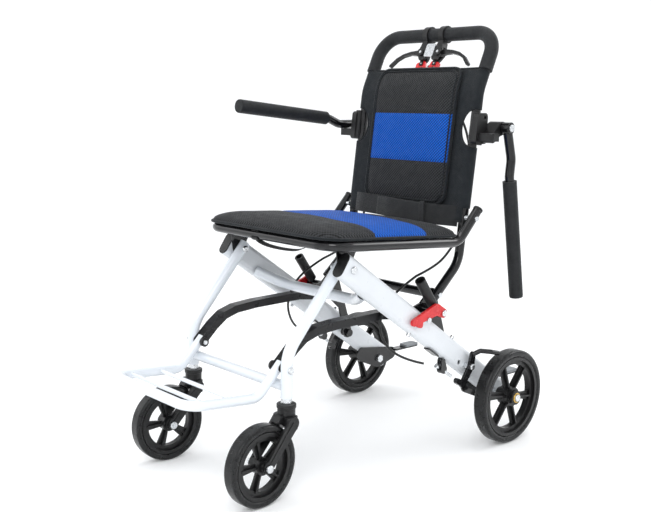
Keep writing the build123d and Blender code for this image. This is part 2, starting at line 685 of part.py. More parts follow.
def arm_points():
    """Centre line of an armrest in its place for use, from the pivot forwards."""
    rise = radians(173.9)
    tip = (P_ARM[0] + ARM_REACH * cos(rise), P_ARM[1] + ARM_REACH * sin(rise))
    shoulder = (P_ARM[0] - 98, P_ARM[1] + 12)
    straight = (P_ARM[0] - 66, P_ARM[1] - 0.8)
    return [P_ARM, straight, shoulder, tip]


def arm_tube():
    points = [at(ARM_X, p) for p in arm_points()]
    tube = swept(points, SEAT_TUBE_R, WALL, 40)
    knuckle = disc(ARM_X - SEAT_TUBE_R + 0.1, ARM_X + SEAT_TUBE_R - 0.1, P_ARM, 12.0)
    tube = tube - disc(ARM_X - 12, ARM_X + 12, P_ARM, 12.0) + knuckle
    return tube - disc(ARM_X - 20, ARM_X + 20, P_ARM, 5.0 + SPIN_GAP)


def arm_foam():
    centre = arm_points()
    start = along(centre[2], centre[3], ARM_FOAM_START)
    return swept([at(ARM_X, start), at(ARM_X, centre[3])], ARM_FOAM_R, ARM_FOAM_R - SEAT_TUBE_R)


def arm_cap():
    centre = arm_points()
    tip = centre[3]
    beyond = along(centre[2], tip, hypot(tip[0] - centre[2][0], tip[1] - centre[2][1]) + 3)
    return swept([at(ARM_X, tip), at(ARM_X, beyond)], ARM_FOAM_R - 0.5)


def arm_bolt():
    x0 = ARM_X - SEAT_TUBE_R - SIDE_GAP - 9.0
    bolt = disc(x0, ARM_X + SEAT_TUBE_R + SIDE_GAP, P_ARM, 5.0)
    return bolt + bolt_head(ARM_X + SEAT_TUBE_R + SIDE_GAP, P_ARM, 7.5, 4.0)


def armrests():
    stow = Axis(at(0, P_ARM), (1, 0, 0))
    foam = arm_foam() + arm_cap()
    for name, piece in (("arm_tube", arm_tube()), ("arm_foam", foam)):
        put(name + "_left", piece.rotate(stow, ARM_STOW_TURN))
        put(name + "_right", mirrored(piece))
    put("arm_brackets", both(arm_bracket()))


# ---------------------------------------------------------------- brake levers on the handle
def handle_plane():
    """Plane through the handle's axis, its Y up along the uprights, its Z to the front."""
    a = radians(HANDLE_LEAN)
    return Plane(origin=(0, *HANDLE), x_dir=(1, 0, 0), z_dir=(0, -cos(a), sin(a)))


LEVER_PIVOT = (24.0, -44.0)             # across and up, in the handle's plane
LEVER_X0 = 22.0
LOCK_PIVOT = (18.0, -68.0)


def lever_clamp():
    """Clamp on the handle and the body that holds a lever's pivot."""
    band = Pos(LEVER_X0, 0, 0) * Rot(0, 90, 0) * (Cylinder(FOAM_R + 4.0, 13) - Cylinder(FOAM_R + 0.3, 20))
    lug = Pos(LEVER_X0, 11, -13) * Box(13, 9, 9)
    neck = make_hull((Pos(LEVER_X0, -22) * Circle(7) + Pos(LEVER_X0 - 1, -44) * Circle(12)).edges())
    neck += make_hull((Pos(LEVER_X0 - 1, -44) * Circle(12) + Pos(LEVER_X0 - 4, -54) * Circle(9)).edges())
    body = extrude(neck, 8.5, both=True)
    boss = Pos(*LEVER_PIVOT, 9.5) * Cylinder(8.5, 5)
    slot = Pos(LEVER_PIVOT[0] + 8, LEVER_PIVOT[1], 0) * Box(34, 25, 8.0)
    hole = Pos(*LEVER_PIVOT, 0) * Cylinder(3.0, 40)
    hole += Pos(*LOCK_PIVOT, 0) * Cylinder(1.6, 40)
    ear = Pos(LOCK_PIVOT[0], LOCK_PIVOT[1] + 4, 0) * Box(9, 17, 9)
    slot += Pos(*LOCK_PIVOT, 0) * Box(60, 26, 5.4)
    inside = Pos(LEVER_X0, 0, 0) * Rot(0, 90, 0) * Cylinder(FOAM_R + 0.3, 60)
    return handle_plane() * (band + lug + body + boss + ear - slot - hole - inside)


def lever_blade():
    """Slim curved finger lever, pivoted in its clamp and bowing down under the handle."""
    px, py = LEVER_PIVOT
    knots = [(0, 0, 9.0), (16, 2, 5.5), (34, 2, 3.6), (54, -3, 3.3), (70, -12, 3.3), (84, -27, 3.6)]
    flat = Sketch()
    for a, b in zip(knots, knots[1:]):
        ends = Pos(px + a[0], py + a[1]) * Circle(a[2]) + Pos(px + b[0], py + b[1]) * Circle(b[2])
        flat += make_hull(ends.edges())
    blade = extrude(flat, 3.6, both=True)
    blade -= Pos(px, py, 0) * Cylinder(3.0 + SPIN_GAP, 40)
    return handle_plane() * blade


def lever_pin():
    pin = Pos(*LEVER_PIVOT, 1.75) * Cylinder(3.0, 20.5)
    head = Pos(*LEVER_PIVOT, -9.4) * Cylinder(6.0, 1.8)
    return handle_plane() * (pin + head)


def park_lock():
    """Red thumb piece with two wings that holds its lever pulled."""
    x, y = LOCK_PIVOT
    wings = [((-5, 0, 6.0), (9, -3, 5.5)), ((8, -3, 5.5), (13, -22, 3.5)), ((-5, 0, 6.0), (-11, -9, 3.0))]
    flat = Sketch()
    for a, b in wings:
        ends = Pos(x + a[0], y + a[1]) * Circle(a[2]) + Pos(x + b[0], y + b[1]) * Circle(b[2])
        flat += make_hull(ends.edges())
    plate = extrude(flat, 2.4, both=True)
    plate -= Pos(x, y, 0) * Cylinder(1.6 + SPIN_GAP, 40)
    return handle_plane() * plate


def park_lock_pin():
    x, y = LOCK_PIVOT
    pin = Pos(x, y, 0) * Cylinder(1.6, 9)
    return handle_plane() * pin


def lever_plate():
    """Bright plate that ties the two lever bodies together, on their front faces."""
    plate = Pos(0, -40, 9.3) * Box(24, 30, 1.6)
    return handle_plane() * fillet(plate.edges().filter_by(Axis.Z), 4)


# ---------------------------------------------------------------- brake cables
CABLE_R = 2.5
# one route a side, from the lever body, over to the other side, down the back tube and to the brake
CABLE_BACK = [
    (6.0, 291.0, 790.0), (-22.0, 283.0, 758.0), (-70.0, 277.0, 716.0), (-118.0, 270.0, 668.0),
    (-141.0, 263.0, 610.0), (-141.0, 255.0, 550.0), (-140.0, 246.0, 490.0), (-139.0, 232.0, 432.0),
]
CABLE_LOW = [
    (-138.9, 230.0, 426.5), (-138.0, 204.0, 402.0), (-139.0, 160.0, 380.0), (-137.0, 112.0, 368.0),
    (-138.0, 66.0, 350.0), (-136.5, 24.0, 322.0), (-137.0, 6.0, 280.0),
    (-142.0, 22.0, 238.0), (-156.0, 62.0, 208.0), (-170.5, 104.0, 195.5),
]


def cable(points):
    """A casing along its route, with the largest arc that each corner allows."""
    vectors = [Vector(*p) for p in points]
    radii = []
    for a, b, c in zip(vectors, vectors[1:], vectors[2:]):
        turn = (b - a).get_angle(c - b)
        run = min((b - a).length, (c - b).length)
        radii.append(0.45 * run / max(0.02, sin(radians(turn / 2)) / cos(radians(turn / 2))))
    length = sum((b - a).length for a, b in zip(vectors, vectors[1:]))
    print("cable radii", [round(r) for r in radii], "length", round(length))
    path = FilletPolyline(*points, radius=radii)
    return sweep(Plane(origin=path @ 0, z_dir=path % 0) * Circle(CABLE_R), path=path)


# ---------------------------------------------------------------- assembly
def chassis():
    put_sides("beam", beam())
    put("beam_end_caps", beam_end_caps())
    put("chassis_cross_tube", chassis_cross_tube())
    solid_beam = extrude(beam_plane(0) * SlotOverall(BEAM_H, BEAM_W), BEAM_LENGTH)
    pivot, pin, small = chassis_pins()
    put("beam_bolts", both(group(pivot, pin, small - solid_beam, brake_bolt())))
    put("crank_posts", both(crank_pivot()))
    put("tipping_plates", both(tipping_plate()))
    put("tipping_pads", both(tipping_pad()))
    put("rear_axles", both(rear_axle()))
    put("brake_stops", both(brake_stop() - solid_beam - wire_solid(-20, 20, 3.0)))
    put("brake_adjusters", both(group(brake_adjuster() - brake_stop(), brake_spring())))
    put_sides("brake_arm", brake_arm())
    put("cables_low", both(cable(CABLE_LOW)))


def legs():
    put("legs", both(leg()))
    put("leg_cross_tube", leg_cross_tube())
    bolt, cap = foot_pivot()
    put("foot_pivot_bolts", both(bolt))
    put("foot_pivot_caps", both(cap))
    put("footrest", footrest())
    put("link_bars", both(link_bar()))


def folding_gear():
    plate, pin = crank()
    put("cranks", both(plate))
    put("latch_bolts", both(pin))
    put("fold_levers", both(fold_lever()))
    put("latches", both(latch()))


def seat():
    put("seat_frame", seat_frame())
    put("seat_bolts", seat_bolts())
    put("seat_caps", seat_caps())
    put("seat_sling", seat_sling())
    put("seat_cushion", seat_cushion())


def back():
    put("back_frame", back_frame())
    put("back_cross_tube", back_cross_tube())
    put("back_bolts", both(group(back_bolts(), arm_bolt())))
    put("handle_grip", handle_grip())
    put("backrest_fabric", backrest_fabric())
    put("backrest_pad", backrest_pad())
    put("lap_belt", lap_belt())
    armrests()


def brakes():
    put("lever_clamps", both(lever_clamp()))
    put_sides("brake_lever", lever_blade())
    put("lever_pins", group(both(group(lever_pin(), park_lock_pin())), lever_plate()))
    put_sides("park_lock", park_lock())
    put("cables_back", both(cable(CABLE_BACK)))


def main():
    chassis()
    rear_wheels()
    legs()
    castors()
    folding_gear()
    seat()
    back()
    brakes()
    os.makedirs("parts", exist_ok=True)
    for name, shape in PARTS.items():
        export_step(shape, f"parts/{name}.step")
    print(len(PARTS), "pieces")


main()
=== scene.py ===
"""Folding transport wheelchair: looks, soft goods and stage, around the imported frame."""
import json
import math

import bmesh
import bpy
from mathutils import Matrix, Vector, geometry, noise


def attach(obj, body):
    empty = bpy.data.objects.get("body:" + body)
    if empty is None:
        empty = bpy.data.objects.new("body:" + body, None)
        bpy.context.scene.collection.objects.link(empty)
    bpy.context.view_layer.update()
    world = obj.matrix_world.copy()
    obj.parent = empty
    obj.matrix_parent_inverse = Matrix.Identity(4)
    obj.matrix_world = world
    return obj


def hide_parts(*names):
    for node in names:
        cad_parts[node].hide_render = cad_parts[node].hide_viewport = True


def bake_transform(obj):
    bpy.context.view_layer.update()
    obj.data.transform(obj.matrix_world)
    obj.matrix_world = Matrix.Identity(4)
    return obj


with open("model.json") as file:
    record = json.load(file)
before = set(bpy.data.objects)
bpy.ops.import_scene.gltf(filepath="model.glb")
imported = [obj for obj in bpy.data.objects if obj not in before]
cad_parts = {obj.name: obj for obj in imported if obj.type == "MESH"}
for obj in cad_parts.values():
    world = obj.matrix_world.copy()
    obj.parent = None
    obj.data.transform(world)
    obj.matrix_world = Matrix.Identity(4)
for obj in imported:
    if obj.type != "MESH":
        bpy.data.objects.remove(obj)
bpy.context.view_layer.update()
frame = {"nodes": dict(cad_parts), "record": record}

# ---------------------------------------------------------------- frame facts, in metres
SEAT_FRONT = (-0.165, 0.457)
SEAT_SLOPE = math.atan2(-0.021, 0.343)
BACK_X = 0.158
BACK_LOW = (0.2155, 0.388)
BACK_HIGH = (0.2585, 0.736)
HANDLE = (0.312, 0.856)
LOW_LEAN = math.atan2(BACK_HIGH[0] - BACK_LOW[0], BACK_HIGH[1] - BACK_LOW[1])
HIGH_LEAN = math.atan2(HANDLE[0] - BACK_HIGH[0], HANDLE[1] - BACK_HIGH[1])
LEAN_BLEND = 0.013
TUBE_R = 0.0095
REAR_AXLE = (0.317, 0.100)
HUB_FACE_X = 0.2475
WASHER_R = 0.0095


# ---------------------------------------------------------------- node helpers
class Graph:
    """A short hand for building one material's nodes."""

    def __init__(self, name):
        self.mat = bpy.data.materials.new(name)
        self.mat.use_nodes = True
        self.tree = self.mat.node_tree
        self.shader = self.tree.nodes["Principled BSDF"]
        self.coord = self.tree.nodes.new("ShaderNodeTexCoord").outputs["Object"]

    def node(self, kind, **settings):
        n = self.tree.nodes.new("ShaderNode" + kind)
        for key, value in settings.items():
            setattr(n, key, value)
        return n

    def link(self, a, b):
        self.tree.links.new(a, b)

    def scaled(self, scale, rotation=(0, 0, 0)):
        m = self.node("Mapping")
        m.inputs["Scale"].default_value = scale if isinstance(scale, tuple) else (scale,) * 3
        m.inputs["Rotation"].default_value = rotation
        self.link(self.coord, m.inputs["Vector"])
        return m.outputs["Vector"]

    def noise(self, scale, detail=3.0, rough=0.55):
        n = self.node("TexNoise")
        n.inputs["Scale"].default_value = scale
        n.inputs["Detail"].default_value = detail
        n.inputs["Roughness"].default_value = rough
        self.link(self.coord, n.inputs["Vector"])
        return n.outputs["Fac"]

    def span(self, value, low, high, in_low=0.3, in_high=0.7):
        n = self.node("MapRange")
        n.inputs["From Min"].default_value = in_low
        n.inputs["From Max"].default_value = in_high
        n.inputs["To Min"].default_value = low
        n.inputs["To Max"].default_value = high
        self.link(value, n.inputs["Value"])
        return n.outputs["Result"]

    def math(self, op, a, b=None, c=None):
        n = self.node("Math", operation=op)
        for i, v in enumerate((a, b, c)):
            if v is None:
                continue
            if isinstance(v, (int, float)):
                n.inputs[i].default_value = v
            else:
                self.link(v, n.inputs[i])
        return n.outputs[0]

    def mix(self, factor, a, b):
        n = self.node("Mix", data_type="RGBA")
        for socket, v in ((n.inputs["Factor"], factor), (n.inputs["A"], a), (n.inputs["B"], b)):
            if isinstance(v, (int, float)):
                socket.default_value = v
            elif isinstance(v, tuple):
                socket.default_value = (*v, 1.0)
            else:
                self.link(v, socket)
        return n.outputs["Result"]

    def bump(self, height, strength, distance):
        n = self.node("Bump")
        n.inputs["Strength"].default_value = strength
        n.inputs["Distance"].default_value = distance
        self.link(height, n.inputs["Height"])
        self.link(n.outputs["Normal"], self.shader.inputs["Normal"])

    def set(self, **values):
        for key, value in values.items():
            self.shader.inputs[key.replace("_", " ")].default_value = value

    def colour(self, output):
        self.link(output, self.shader.inputs["Base Color"])

    def roughness(self, output):
        self.link(output, self.shader.inputs["Roughness"])


def tint(c, k):
    return tuple(min(1.0, v * k) for v in c)


def painted(name, colour, rough, coat=0.0, metallic=0.0, peel=0.00004, wear=0.25, spec=0.5):
    """Paint or powder coat: faint clouding, orange peel and lighter, rubbed edges."""
    g = Graph(name)
    cloud = g.span(g.noise(9.0), 0.0, 1.0)
    base = g.mix(cloud, tint(colour, 0.94), tint(colour, 1.05))
    edge = g.span(g.node("NewGeometry").outputs["Pointiness"], 0.0, wear, 0.52, 0.62)
    scuffed = g.math("MULTIPLY", edge, g.span(g.noise(160.0), 0.0, 1.0))
    g.colour(g.mix(scuffed, base, tuple(0.5 * v + 0.3 for v in colour)))
    g.roughness(g.span(g.noise(45.0), rough * 0.8, rough * 1.25))
    g.bump(g.noise(420.0, 2.0), 0.35, peel)
    g.set(Metallic=metallic, Coat_Weight=coat, Coat_Roughness=0.08, Specular_IOR_Level=spec)
    return g.mat


def steel(name, colour, rough):
    """Zinc-plated steel: fine streaks, darker specks."""
    g = Graph(name)
    streak = g.node("TexNoise")
    streak.inputs["Scale"].default_value = 1.0
    streak.inputs["Detail"].default_value = 4.0
    g.link(g.scaled((60.0, 60.0, 900.0)), streak.inputs["Vector"])
    speck = g.span(g.noise(300.0), 0.0, 1.0, 0.35, 0.6)
    g.colour(g.mix(speck, tint(colour, 0.7), colour))
    g.roughness(g.span(streak.outputs["Fac"], rough * 0.7, rough * 1.4))
    g.bump(streak.outputs["Fac"], 0.3, 0.00005)
    g.set(Metallic=1.0)
    return g.mat


def plastic(name, colour, rough, grain=1100.0, depth=0.00006, spec=0.4):
    """Moulded plastic: fine spark-eroded grain and slight flow marks."""
    g = Graph(name)
    flow = g.span(g.noise(22.0), 0.0, 1.0)
    g.colour(g.mix(flow, tint(colour, 0.85), tint(colour, 1.18)))
    g.roughness(g.span(g.noise(90.0), rough * 0.85, rough * 1.15))
    g.bump(g.noise(grain, 2.0), 0.5, depth)
    g.set(Specular_IOR_Level=spec)
    return g.mat


def tyre_rubber(name, colour):
    """Solid tyre: dusty tread, fine moulding rings."""
    g = Graph(name)
    dust = g.span(g.noise(60.0, 5.0), 0.0, 1.0, 0.45, 0.75)
    g.colour(g.mix(dust, colour, tint(colour, 1.5)))
    g.roughness(g.span(g.noise(120.0), 0.24, 0.36))
    g.bump(g.noise(700.0, 3.0), 0.4, 0.00008)
    g.set(Specular_IOR_Level=0.3)
    return g.mat


def foam(name, colour):
    """Closed-cell foam sleeve: pitted, matt, slightly mottled."""
    g = Graph(name)
    cells = g.node("TexVoronoi")
    cells.inputs["Scale"].default_value = 650.0
    g.link(g.coord, cells.inputs["Vector"])
    mottled = g.span(g.noise(35.0, 4.0), 0.0, 1.0)
    g.colour(g.mix(mottled, tint(colour, 0.85), tint(colour, 1.25)))
    g.roughness(g.span(g.noise(200.0), 0.55, 0.75))
    g.bump(cells.outputs["Distance"], 0.6, 0.00025)
    g.set(Specular_IOR_Level=0.25, Sheen_Weight=0.08, Sheen_Roughness=0.4)
    return g.mat


def woven(g, pitch, turn):
    """Height of a plain weave, from two crossed sets of threads."""
    k = 2 * math.pi / pitch
    sep = g.node("SeparateXYZ")
    g.link(g.scaled(1.0, turn), sep.inputs["Vector"])
    a = g.math("SINE", g.math("MULTIPLY", sep.outputs["X"], k))
    b = g.math("SINE", g.math("MULTIPLY", sep.outputs["Z"], k))
    return g.math("MULTIPLY", a, b)


def cloth(name, colour, pitch=0.0011, turn=(0, 0, 0), sheen=0.1, depth=0.00025):
    """Plain woven cloth: thread bump, small folds of tone, and a painted highlight that lightens
    the thread tops.
    """
    g = Graph(name)
    weave = woven(g, pitch, turn)
    tone = g.span(g.noise(14.0, 4.0), 0.0, 1.0)
    base = g.mix(tone, tint(colour, 0.8), tint(colour, 1.3))
    # painted highlight: the raised threads of the weave are mixed up to 35% toward a lighter colour
    g.colour(g.mix(g.span(weave, 0.0, 0.35, -1.0, 1.0), base, tint(colour, 1.7)))
    g.roughness(g.span(g.noise(80.0), 0.7, 0.9))
    g.bump(weave, 0.5, depth)
    g.set(Specular_IOR_Level=0.25, Sheen_Weight=sheen, Sheen_Roughness=0.45)
    return g.mat


def spacer(name, colour, light, pitch=0.0047, flat="Y", second=None, mask=None, sheen=0.04):
    """Spacer mesh: slanting knitted ribs, with painted shade in the holes between. mask picks the
    second colour.
    """
    g = Graph(name)
    k = 2 * math.pi / pitch
    sep = g.node("SeparateXYZ")
    g.link(g.coord, sep.inputs["Vector"])
    u = sep.outputs["X"]
    v = sep.outputs["Z" if flat == "Y" else "Y"]
    rising = g.math("SINE", g.math("MULTIPLY", g.math("SUBTRACT", u, v), k * 0.707))
    falling = g.math("SINE", g.math("MULTIPLY", g.math("ADD", u, v), k * 0.707))
    rows = g.math("MULTIPLY_ADD", falling, 0.35, g.math("MULTIPLY", rising, 0.65))
    rib = g.span(rows, 0.0, 1.0, -0.5, 0.4)
    tone = g.span(g.noise(11.0, 4.0), 0.0, 1.0)

    def knit(c, hi):
        base = g.mix(tone, tint(c, 0.88), tint(c, 1.12))
        # painted shade: the holes between the ribs are darkened to 0.3 of the colour, and the ribs
        # take the lighter colour
        return g.mix(rib, tint(c, 0.3), g.mix(0.6, base, hi))

    out = knit(colour, light)
    if second:
        out = g.mix(mask(g, sep), out, knit(*second))
    g.colour(out)
    g.roughness(g.span(g.noise(90.0), 0.62, 0.85))
    g.bump(rib, 0.7, 0.0006)
    g.set(Specular_IOR_Level=0.25, Sheen_Weight=sheen, Sheen_Roughness=0.4)
    return g.mat


BLACK_CLOTH = (0.008, 0.0105, 0.013)
MESH_DARK = (0.006, 0.0065, 0.0075)
MESH_LIGHT = (0.050, 0.053, 0.057)
BLUE = (0.0, 0.058, 0.42)
BLUE_LIGHT = (0.0, 0.15, 0.66)


def seat_band(g, sep):
    """1 on the band of the seat between two swept seams, in the row frame."""
    x = sep.outputs["X"]
    y = sep.outputs["Y"]
    xx = g.math("MULTIPLY", x, x)

    def past(a, b, c):
        curve = g.math("ADD", g.math("MULTIPLY_ADD", x, b, a), g.math("MULTIPLY", xx, c))
        return g.span(g.math("SUBTRACT", y, curve), 0.0, 1.0, -0.0004, 0.0004)

    front = past(*SEAT_SEAMS[0])
    rear = past(*SEAT_SEAMS[1])
    return g.math("SUBTRACT", front, rear)


SEAT_SEAMS = ((-0.042, -0.16, 0.4), (0.122, -0.27, 0.3))

MATERIALS = {
    "silver_beam": painted("beam_paint", (0.70, 0.73, 0.765), 0.33, coat=0.25),
    "white_paint": painted("white_gloss", (0.74, 0.785, 0.84), 0.2, coat=0.55),
    "grey_link": painted("black_link", (0.012, 0.012, 0.013), 0.3, coat=0.05, wear=0.0, spec=0.25),
    "black_paint": painted(
        "black_gloss", (0.005, 0.005, 0.006), 0.12, coat=0.35, wear=0.03, spec=0.3),
    "black_tube": painted(
        "black_satin", (0.006, 0.006, 0.007), 0.18, coat=0.25, wear=0.0, spec=0.3),
    "lever_alloy": painted("lever_black", (0.009, 0.009, 0.010), 0.3, coat=0.1, wear=0.0, spec=0.3),
    "black_plastic": plastic("black_plastic", (0.009, 0.009, 0.0095), 0.36, spec=0.35),
    "grey_plastic": plastic("grey_plastic", (0.22, 0.235, 0.25), 0.5),
    "red_plastic": plastic("red_plastic", (0.62, 0.012, 0.016), 0.26, depth=0.00003, spec=0.55),
    "steel": steel("zinc_steel", (0.74, 0.76, 0.78), 0.24),
    "tyre": tyre_rubber("tyre_rubber", (0.008, 0.0083, 0.0088)),
    "foam": foam("grip_foam", (0.014, 0.015, 0.0165)),
    "grey_fabric": cloth("back_cloth", BLACK_CLOTH),
    "cable": plastic("cable_jacket", (0.008, 0.008, 0.008), 0.35),
}


def paint_frame():
    """Gives every CAD node the finish of its record slot."""
    slots = {s["node"]: s["material_slot"] for s in frame["record"]["subparts"]}
    for name, ob in frame["nodes"].items():
        mat = MATERIALS[slots[name]]
        if not ob.material_slots:
            ob.data.materials.append(mat)
        for s in ob.material_slots:
            s.material = mat


# ---------------------------------------------------------------- mesh helpers
def new_object(name, verts, faces, mats, smooth=True):
    me = bpy.data.meshes.new(name)
    me.from_pydata([tuple(v) for v in verts], [], faces)
    me.validate()
    me.update()
    ob = bpy.data.objects.new(name, me)
    bpy.context.scene.collection.objects.link(ob)
    for m in mats:
        me.materials.append(m)
    if smooth:
        me.polygons.foreach_set("use_smooth", [True] * len(me.polygons))
    return ob


def fix_normals(ob):
    bm = bmesh.new()
    bm.from_mesh(ob.data)
    bmesh.ops.recalc_face_normals(bm, faces=bm.faces)
    bm.to_mesh(ob.data)
    bm.free()


def apply_modifiers(ob):
    """Bakes the modifiers into the mesh."""
    deps = bpy.context.evaluated_depsgraph_get()
    me = bpy.data.meshes.new_from_object(ob.evaluated_get(deps))
    ob.modifiers.clear()
    ob.data = me


def tube_mesh(name, points, radius, mat, body, sides=10, closed=False, steps=6):
    """A round bead along a smooth line through points."""
    cu = bpy.data.curves.new(name, "CURVE")
    cu.dimensions = "3D"
    cu.bevel_depth = radius
    cu.bevel_resolution = max(2, sides // 4)
    cu.resolution_u = steps
    cu.use_fill_caps = not closed
    sp = cu.splines.new("NURBS")
    sp.points.add(len(points) - 1)
    for p, q in zip(sp.points, points):
        p.co = (*q, 1.0)
    sp.order_u = 3
    sp.use_endpoint_u = not closed
    sp.use_cyclic_u = closed
    ob = bpy.data.objects.new(name, cu)
    bpy.context.scene.collection.objects.link(ob)
    deps = bpy.context.evaluated_depsgraph_get()
    me = bpy.data.meshes.new_from_object(ob.evaluated_get(deps))
    bpy.data.objects.remove(ob)
    out = bpy.data.objects.new(name, me)
    bpy.context.scene.collection.objects.link(out)
    me.materials.append(mat)
    me.polygons.foreach_set("use_smooth", [True] * len(me.polygons))
    if body:
        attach(out, body)
    return out


def rounded_outline(hx, hy, radii, step=0.006):
    """Outline of a rectangle with its own radius at each corner: front-left, round by the right."""
    corners = [(hx, -hy), (hx, hy), (-hx, hy), (-hx, -hy)]
    pts = []
    for i, ((cx, cy), r) in enumerate(zip(corners, radii)):
        sx = 1 if cx > 0 else -1
        sy = 1 if cy > 0 else -1
        ox = cx - sx * r
        oy = cy - sy * r
        start = -math.pi / 2 + i * math.pi / 2
        n = max(4, int(r * math.pi / 2 / step))
        for k in range(n + 1):
            a = start + math.pi / 2 * k / n
            pts.append((ox + r * math.cos(a), oy + r * math.sin(a)))
    out = []
    for (x0, y0), (x1, y1) in zip(pts, pts[1:] + pts[:1]):
        d = math.hypot(x1 - x0, y1 - y0)
        m = max(1, round(d / step))
        out += [(x0 + (x1 - x0) * k / m, y0 + (y1 - y0) * k / m) for k in range(m)]
    return out


# ---------------------------------------------------------------- seat
def seat_point(x, v, lift):
    """Row-frame point of the seat plane: v metres behind the front tube, lift above it."""
    s = math.sin(SEAT_SLOPE)
    c = math.cos(SEAT_SLOPE)
    return (x, SEAT_FRONT[0] + v * c - lift * s, SEAT_FRONT[1] + v * s + lift * c)


CUSHION_HALF_X = 0.1895
CUSHION_V = (-0.015, 0.352)


def cushion_height(x, v, edge):
    """Crown of the cushion's top over its rim; edge is the distance from the rim."""
    t = min(1.0, edge / 0.052)
    round_edge = math.sqrt(max(0.0, 1 - (1 - t) ** 2))
    crown = 0.0065 * (1 - (x / CUSHION_HALF_X) ** 2)
    y = SEAT_FRONT[0] + v
    height = 0.0185 * round_edge + crown * t
    for a, b, c in SEAT_SEAMS:
        d = abs(y - (a + b * x + c * x * x))
        height -= 0.0022 * math.exp(-((d / 0.006) ** 2)) * t
    soft = noise.noise(Vector((x * 14, v * 14, 0.3)))
    return height + 0.0012 * soft * t


def seat_cushion():
    """Pad of two mesh covers, crowned, with a flat welted rim over the frame tubes."""
    hx = CUSHION_HALF_X
    hy = (CUSHION_V[1] - CUSHION_V[0]) / 2
    mid = (CUSHION_V[1] + CUSHION_V[0]) / 2
    outline = rounded_outline(hx, hy, (0.05, 0.034, 0.034, 0.05), 0.004)
    n = len(outline)
    rings = 46
    verts = []
    faces = []
    lift0 = TUBE_R + 0.0045

    # top, from rim to centre; the plan pulls in a little between the corners
    for k in range(rings):
        f = 1 - k / rings
        for px, py in outline:
            x = px * f
            y = py * f
            edge = (1 - f) * hx
            pull = 0.0035 * (1 - (py / hy) ** 2) * (abs(px) / hx) ** 6 * f ** 8
            x -= math.copysign(pull, px)
            v = mid + y
            verts.append(seat_point(x, v, lift0 + cushion_height(x, v, edge)))
    top_centre = len(verts)
    verts.append(seat_point(0, mid, lift0 + cushion_height(0, mid, hx)))
    # underside
    under = len(verts)
    urings = 8
    for k in range(urings):
        f = 1 - k / urings
        for px, py in outline:
            x = px * f
            y = py * f
            pull = 0.0035 * (1 - (py / hy) ** 2) * (abs(px) / hx) ** 6 * f ** 8
            x -= math.copysign(pull, px)
            verts.append(seat_point(x, mid + y, lift0 - 0.003))
    under_centre = len(verts)
    verts.append(seat_point(0, mid, lift0 - 0.003))
    for k in range(rings - 1):
        for i in range(n):
            j = (i + 1) % n
            faces.append((k * n + i, k * n + j, (k + 1) * n + j, (k + 1) * n + i))
    last = (rings - 1) * n
    for i in range(n):
        faces.append((last + i, last + (i + 1) % n, top_centre))
    for k in range(urings - 1):
        for i in range(n):
            j = (i + 1) % n
            a = under + k * n
            faces.append((a + j, a + i, a + n + i, a + n + j))
    a = under + (urings - 1) * n
    for i in range(n):
        faces.append((a + (i + 1) % n, a + i, under_centre))
    for i in range(n):
        j = (i + 1) % n
        faces.append((i, under + i, under + j, j))
    blues = (BLUE, BLUE_LIGHT)
    knit = spacer("seat_mesh", MESH_DARK, MESH_LIGHT, flat="Z", second=blues, mask=seat_band)
    ob = new_object("seat_pad", verts, faces, [knit])
    fix_normals(ob)
    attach(ob, "seat")
    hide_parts("seat_cushion")
    # welt
    welt = cloth("seat_welt_cloth", tint(BLACK_CLOTH, 0.9), 0.0012)
    rim = []
    for px, py in outline[::3]:
        pull = 0.0035 * (1 - (py / hy) ** 2) * (abs(px) / hx) ** 6
        rim.append(seat_point(px - math.copysign(pull, px), mid + py, lift0 - 0.001))
    bead = tube_mesh("seat_welt", rim, 0.0029, welt, "seat", closed=True)
    return ob


def sling_sag(x, v):
    u = 1 - (x / 0.175) ** 2
    w = max(0.0, 1 - ((v - 0.17) / 0.165) ** 2)
    return -0.006 * u * w


def seat_sling():
    """Cloth stretched inside the seat tubes, under the pad."""
    outline = rounded_outline(0.1765, 0.166, (0.034, 0.02, 0.02, 0.034), 0.006)
    n = len(outline)
    rings = 22
    verts = []
    faces = []
    for k in range(rings):
        f = 1 - k / rings
        for px, py in outline:
            x = px * f
            v = 0.178 + py * f
            verts.append(seat_point(x, v, 0.0075 + sling_sag(x, v)))
    verts.append(seat_point(0, 0.178, 0.0075 + sling_sag(0, 0.178)))
    for k in range(rings - 1):
        for i in range(n):
            j = (i + 1) % n
            faces.append((k * n + i, k * n + j, (k + 1) * n + j, (k + 1) * n + i))
    for i in range(n):
        faces.append(((rings - 1) * n + i, (rings - 1) * n + (i + 1) % n, len(verts) - 1))
    mat = cloth("sling_cloth", tint(BLACK_CLOTH, 0.8), 0.0016)
    ob = new_object("seat_sling_cloth", verts, faces, [mat])
    fix_normals(ob)
    sol = ob.modifiers.new("t", "SOLIDIFY")
    sol.thickness = 0.0012
    sol.offset = 0.0
    apply_modifiers(ob)
    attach(ob, "seat")
    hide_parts("seat_sling")
    return ob


# ---------------------------------------------------------------- back
def back_line(z):
    """(y, lean) of the back tubes' centre line at height z, with its bend eased."""
    y_low = BACK_LOW[0] + (z - BACK_LOW[1]) * math.tan(LOW_LEAN)
    y_high = BACK_HIGH[0] + (z - BACK_HIGH[1]) * math.tan(HIGH_LEAN)
    d = z - BACK_HIGH[1]
    if d < -LEAN_BLEND:
        return y_low, LOW_LEAN
    if d > LEAN_BLEND:
        return y_high, HIGH_LEAN
    t = (d + LEAN_BLEND) / (2 * LEAN_BLEND)
    lean = LOW_LEAN + (HIGH_LEAN - LOW_LEAN) * t
    steeper = math.tan(HIGH_LEAN) - math.tan(LOW_LEAN)
    return y_low + steeper * (d + LEAN_BLEND) ** 2 / (4 * LEAN_BLEND), lean


def back_point(x, z, off):
    """Point at height z on the back's plane, off metres to the front of the tubes' centre."""
    y, lean = back_line(z)
    return (x, y - off * math.cos(lean), z + off * math.sin(lean))


